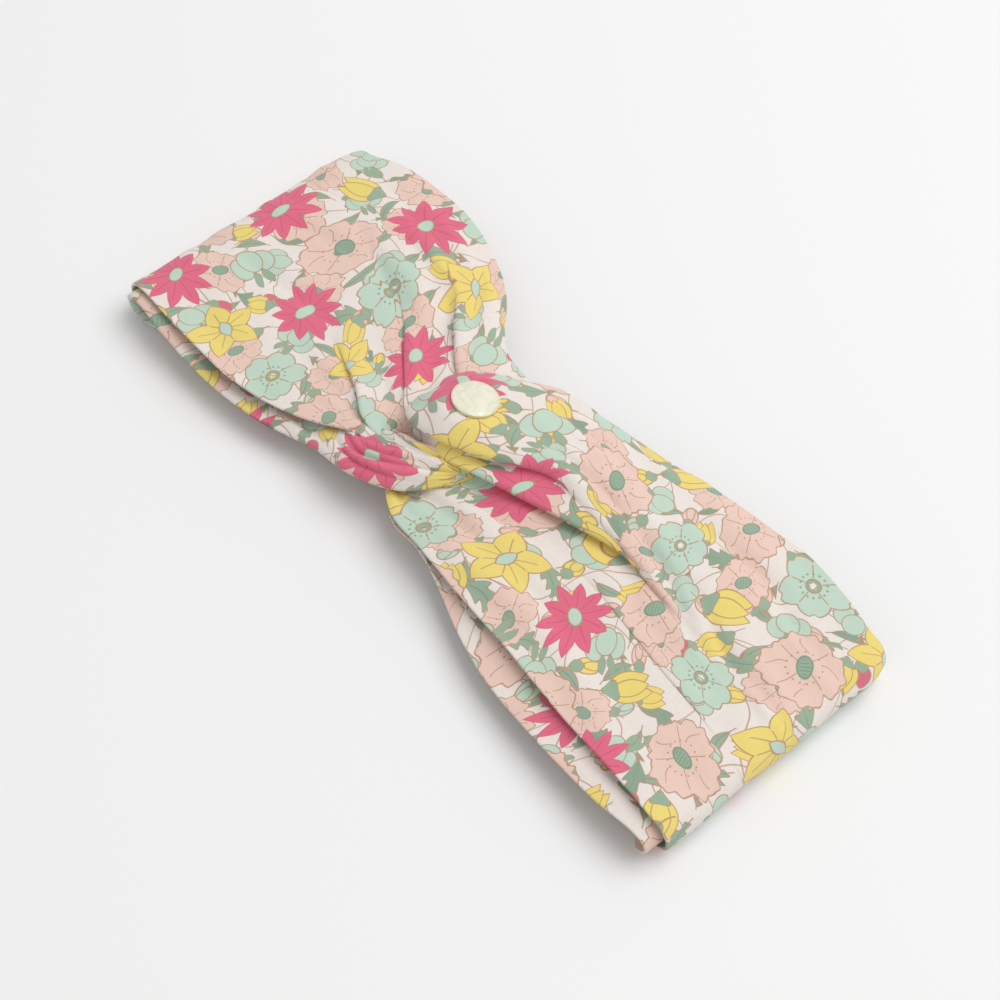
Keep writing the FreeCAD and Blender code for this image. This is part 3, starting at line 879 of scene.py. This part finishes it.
def casing_grid(x1, x2):
    """Outer surface of the gathered tube: rows along x, and columns round its flat oval section."""
    xs = np.linspace(x1, x2, int((x2 - x1) / 0.62) + 2)
    top_y = np.linspace(-1, 1, 57) * (CASING_HALF_W - 1.0)
    side_y = CASING_HALF_W - 0.35
    around = [(y, 1.0) for y in top_y] + [(side_y, 0.55), (side_y, -0.55)]
    around += [(y, -1.0) for y in top_y[::-1]] + [(-side_y, -0.55), (-side_y, 0.55)]
    y, face = (np.array(v)[None, :] for v in zip(*around))
    x = xs[:, None] + 0 * y
    y, face = y + 0 * x, face + 0 * x
    # Pinched by the rows of topstitching, and flat where the tails hold its ends
    pinch = np.exp(-((np.abs(y) - TOPSTITCH_Y) / 1.5) ** 2) * 0.3
    held = np.clip((np.maximum(LINK_L - x, x - LINK_R)) / 3.5, 0, 1)
    held = held * held * (3 - 2 * held)
    wander = x + 2.2 * lattice_noise(x / 13, y / 9 + (face < 0) * 40, 61)
    gathers = lattice_noise(wander / 3.0, y / 26 + (face < 0) * 30, 62) + 0.4 * lattice_noise(
        wander / 1.6, y / 8 + (face < 0) * 30, 63)
    frill = 1 + 0.5 * np.clip((np.abs(y) - TOPSTITCH_Y) / 3, 0, 1)
    half = (STACK / 2 - 0.75) * (1 - pinch * 0.5) * (1 - held) + 0.75 * held
    lift = np.clip(gathers * 0.85 * frill, -1.0, 0.72) * (1 - held)
    # Rounded where the band opens, about the pivot at its left end
    if x1 == PIVOT_END:
        round_end = np.sqrt(np.clip(1 - (np.maximum(-BEND_X - x, 0) / 2.45) ** 2, 0.02, 1))
        half, lift = half * round_end, lift * round_end
    z = STACK / 2 + face * (half + lift * np.minimum(1, np.abs(face)))
    y = y * (1 - 0.06 * held) + np.sign(y) * lift * 0.5 * (np.abs(y) > TOPSTITCH_Y + 3)
    return np.stack([x, y, np.clip(z, 0.02, STACK)], axis=2)


def tube(name, g):
    """A closed tube of thin cotton, open at both ends, from the grid of its outer surface."""
    rows, cols = g.shape[:2]
    n = unit(np.cross(np.gradient(g, axis=0), np.roll(g, -1, axis=1) - np.roll(g, 1, axis=1)))
    if n[rows // 2, cols // 4, 2] < 0:
        n = -n
    points = np.concatenate([g, g - n * CASING_T])
    base, last = rows * cols, (rows - 1) * cols
    quads = ring_faces(rows, cols)
    faces = quads.tolist() + (quads[:, ::-1] + base).tolist()
    for j in range(cols):
        k = (j + 1) % cols
        faces.append([j, base + j, base + k, k])
        faces.append([last + j, last + k, base + last + k, base + last + j])
    along = (g[:, 0, 0] - g[0, 0, 0]) * GATHER
    steps = np.linalg.norm(np.diff(g[rows // 2], axis=0), axis=1)
    round_it = np.concatenate([[0], np.cumsum(steps)])
    flat = np.stack(np.meshgrid(along, round_it, indexing="ij"), axis=2).reshape(-1, 2)
    flat = np.concatenate([flat, flat]) + CASING_PRINT_AT
    corners = flat[np.array(faces)]
    # The faces that close the ring run on past its last column instead of back to the first
    v = corners[..., 1]
    closing = v.max(axis=1) - v.min(axis=1) > 20
    v += np.where(closing[:, None] & (v < CASING_PRINT_AT[1] + 20), round_it[-1] + 0.7, 0.0)
    mesh = cloth_mesh(name, points, faces, corners)
    made = bmesh.new()
    made.from_mesh(mesh)
    bmesh.ops.recalc_face_normals(made, faces=made.faces)
    made.to_mesh(mesh)
    made.free()
    return placed(name, mesh, cotton)


casing = tube("casing_cloth", casing_grid(PIVOT_END, CASING_END_R))
casing_end = tube("casing_left_end_cloth", casing_grid(CASING_END_L, PIVOT_END - 0.4))

# The elastic is one strap here, in place of the frame's middle and right pieces
STRAP_LO = np.array(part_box("elastic_middle")[0]) / MM
STRAP_HI = np.array(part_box("elastic_right")[1]) / MM
STRAP_ROWS, STRAP_COLS = 110, 26
strap_x = np.linspace(STRAP_LO[0], STRAP_HI[0], STRAP_ROWS)
strap_y = np.linspace(STRAP_LO[1] + 0.4, STRAP_HI[1] - 0.4, STRAP_COLS)
strap_z = np.full((STRAP_ROWS, STRAP_COLS), STACK / 2)
strap_grid = np.stack(np.meshgrid(strap_x, strap_y, indexing="ij") + [strap_z], axis=2)


# ---- the CAD nodes that stay in view
def object_mm():
    """The place on the object, in millimetres."""
    return scaled(Field(new_node("TexCoord").outputs["Object"]), 1 / MM)


def thread_material():
    """Twisted cream sewing thread."""
    material, shader = start_material("thread")
    p = object_mm()
    x, y, z = parts_of(p)
    twist = sine((x + y + z) * 9.0)
    fuzz, _ = noise(p, 4.0, 3.0)
    # Painted shade: the stripes along the twist darken the thread as shade between its plies would; the fuzz
    # adds random tone
    shade = number("MULTIPLY_ADD", twist, 0.35, fuzz * 0.5, clamp=True)
    color = paint(srgb(240, 226, 214), srgb(206, 184, 166), shade)
    set_up(shader, {"Base Color": color, "Roughness": number("MULTIPLY_ADD", fuzz, 0.3, 0.5),
                    "Normal": bumped(twist + fuzz, 0.00008)})
    return material


def elastic_material():
    """White woven elastic: ribs along it and picks across."""
    material, shader = start_material("elastic")
    p = object_mm()
    x, y, _ = parts_of(p)
    ribs = sine(y * (2 * math.pi / 1.3))
    picks = sine(x * (2 * math.pi / 0.8) + number("FLOOR", y * (1 / 1.3)) * math.pi)
    fuzz, _ = noise(p, 3.0, 3.0)
    # Painted shade in the grooves of the weave, from the ribs and picks, with random tone from the fuzz
    groove_shade_and_fuzz = number("MULTIPLY_ADD", ribs * picks, 0.3, fuzz * 0.6, clamp=True)
    set_up(shader, {"Base Color": paint(srgb(240, 237, 230), srgb(205, 200, 190), groove_shade_and_fuzz),
                    "Roughness": number("MULTIPLY_ADD", fuzz, 0.25, 0.6),
                    "Normal": bumped(ribs + picks * 0.6, 0.0003)})
    return material


def button_material():
    """Milky shell-like resin, glossy, a little yellower and darker at the rim."""
    material, shader = start_material("button")
    p = object_mm()
    away = vector("LENGTH", vector("MULTIPLY", vector("SUBTRACT", p, tuple(BUTTON_AT)), (1.0, 1.0, 0.4)))
    cloud, drift = noise(p, 0.22, 4.0)
    swirl = vector("ADD", p, scaled(drift, 7.0))
    sx, sy, sz = parts_of(swirl)
    layers = sine(sx * 0.9 + sy * 1.5 + sz * 2.2)
    milk = number("MULTIPLY_ADD", layers, 0.3, cloud, clamp=True)
    color = paint(srgb(226, 226, 198), srgb(242, 238, 222), milk)
    rim = number("MULTIPLY_ADD", away, 0.75, -4.5, clamp=True)
    color = paint(color, srgb(210, 202, 152), rim * 0.75)
    scratches, _ = noise(vector("MULTIPLY", p, (1.0, 6.0, 1.0)), 1.2, 3.0)
    set_up(shader, {"Base Color": color, "Roughness": number("MULTIPLY_ADD", scratches, 0.18, 0.1),
                    "Subsurface Weight": 0.35, "Subsurface Radius": (1.0, 0.95, 0.7),
                    "Subsurface Scale": 0.002, "Coat Weight": 0.6, "Coat Roughness": 0.06,
                    "Normal": bumped(layers * 0.3 + cloud, 0.00025, 0.35)})
    return material


LOOKS = {"thread": thread_material(), "elastic": elastic_material(), "button": button_material()}
THREADS = ("casing_topstitching", "left_join_stitching", "right_join_stitching", "knot_tack_thread",
           "left_wrap_seam_thread", "right_wrap_seam_thread", "button_thread")
for node in THREADS + ("button",):
    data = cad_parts[node].data
    data.materials.clear()
    data.materials.append(LOOKS["button" if node == "button" else "thread"])

strap_up = np.zeros_like(strap_grid)
strap_up[..., 2] = 1.0
strap_map = cloth_map(strap_grid, 50, ((0, 12, STRAP_COLS - 1),))
strap = ribbon("elastic_strap", strap_grid, strap_up, strap_map, LOOKS["elastic"],
               thickness=STRAP_HI[2] - STRAP_LO[2] - 0.6)


# ---- how they ride
def at(x, z):
    return (x * MM, 0.0, z * MM)


BACK_BEND = (BEND_X - 7, BEND_X + 7)       # where the casing bends, between the topstitching and the link
FRONT_BEND = (BEND_X - 10, BEND_X + 10)    # where the arms bend
FOLD_START = 96.0                          # where the folds start to follow the other body
# How far a fold of each level lies from the fold's line, and how much of its weight has passed at its end
FOLD_REACH = {"upper": (FOLD_HI[2] - FOLD_R, FOLD_R, 0.25), "lower": (2.6, 2.6, 0.35)}

for (hand, level), parts in arms.items():
    side = SIDES[hand]
    front, back = "front_" + hand, "back_" + hand
    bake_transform(parts["knot"], "front_mid", front, at(side * FRONT_BEND[0], 12), at(side * FRONT_BEND[1], 12))
    # The two halves of a fold meet half way between the bodies
    rise, reach, share = FOLD_REACH[level]
    slope = np.array([share / (FOLD_X + reach - FOLD_START), -(0.5 - share) / rise])
    run = slope / (slope @ slope)
    end_x = side * (FOLD_START + run[0])
    high, low = FOLD_R + rise, FOLD_R - rise
    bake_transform(parts["fold"], front, back, at(side * FOLD_START, high), at(end_x, high + run[1]))
    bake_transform(parts["tail"], back, front, at(side * FOLD_START, low), at(end_x, low - run[1]))
    arm = hand + "_wrap_" + level
    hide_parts(arm + "_knot")
    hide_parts(arm + "_side")

# Goes through each piece of cloth, the piece under it and whether it tapers into the knot; nothing is kept
for (hand, level), parts in arms.items():
    for part, piece in parts.items():
        under = casing if part == "tail" else arms[hand, "lower"][part]
        tapered = (level, hand, part) == ("lower", "left", "knot")
        [] if under == piece else [under]
for piece in (casing, strap):
    at(BACK_BEND[0], STACK / 2)
    at(BACK_BEND[1], STACK / 2)
    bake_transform(piece)
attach(casing_end, "back_left")
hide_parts("elastic_middle", "elastic_right")
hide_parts("casing_middle", "casing_right")
for hand in SIDES:
    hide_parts(hand + "_wrap_fold")
    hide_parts(hand + "_wrap_tail")

# ---- camera, floor and light
AZIMUTH, ELEVATION = math.radians(49.24), math.radians(56.0)
LOOK_AT = Vector((6.81, -3.88, 0.0)) * MM
DISTANCE = 0.650
camera_data = bpy.data.cameras.new("camera")
camera_data.lens, camera_data.sensor_width = 81.4, 36.0
camera_data.clip_start = 0.01
camera = placed("camera", camera_data)
toward = Vector((math.sin(AZIMUTH) * math.cos(ELEVATION), -math.cos(AZIMUTH) * math.cos(ELEVATION),
                 math.sin(ELEVATION)))
camera.location = LOOK_AT + toward * DISTANCE
camera.rotation_euler = (-toward).to_track_quat("-Z", "Y").to_euler()
bpy.context.scene.camera = camera

FLOOR_HALF, FLOOR_Z = 3.0, -0.0002
floor_corners = [(x * FLOOR_HALF, y * FLOOR_HALF, FLOOR_Z) for x, y in ((-1, -1), (1, -1), (1, 1), (-1, 1))]
floor_mesh = bpy.data.meshes.new("floor")
floor_mesh.from_pydata(floor_corners, [], [(0, 1, 2, 3)])
floor_material, floor_shader = start_material("floor")
set_up(floor_shader, {"Base Color": (0.9, 0.9, 0.9, 1), "Roughness": 0.85})
floor = placed("floor", floor_mesh, floor_material)

bpy.context.scene.view_settings.view_transform = "Standard"
world = bpy.data.worlds.new("world")
bpy.context.scene.world = world
world.use_nodes = True
set_up(world.node_tree.nodes["Background"], {"Color": (1, 1, 1, 1), "Strength": 0.55})

key_light = bpy.data.lights.new("key", "AREA")
key_light.size, key_light.energy = 1.6, 23.0
key = placed("key", key_light)
key.location = (0.40, 0.80, 1.7)
key.rotation_euler = (-key.location).to_track_quat("-Z", "Y").to_euler()
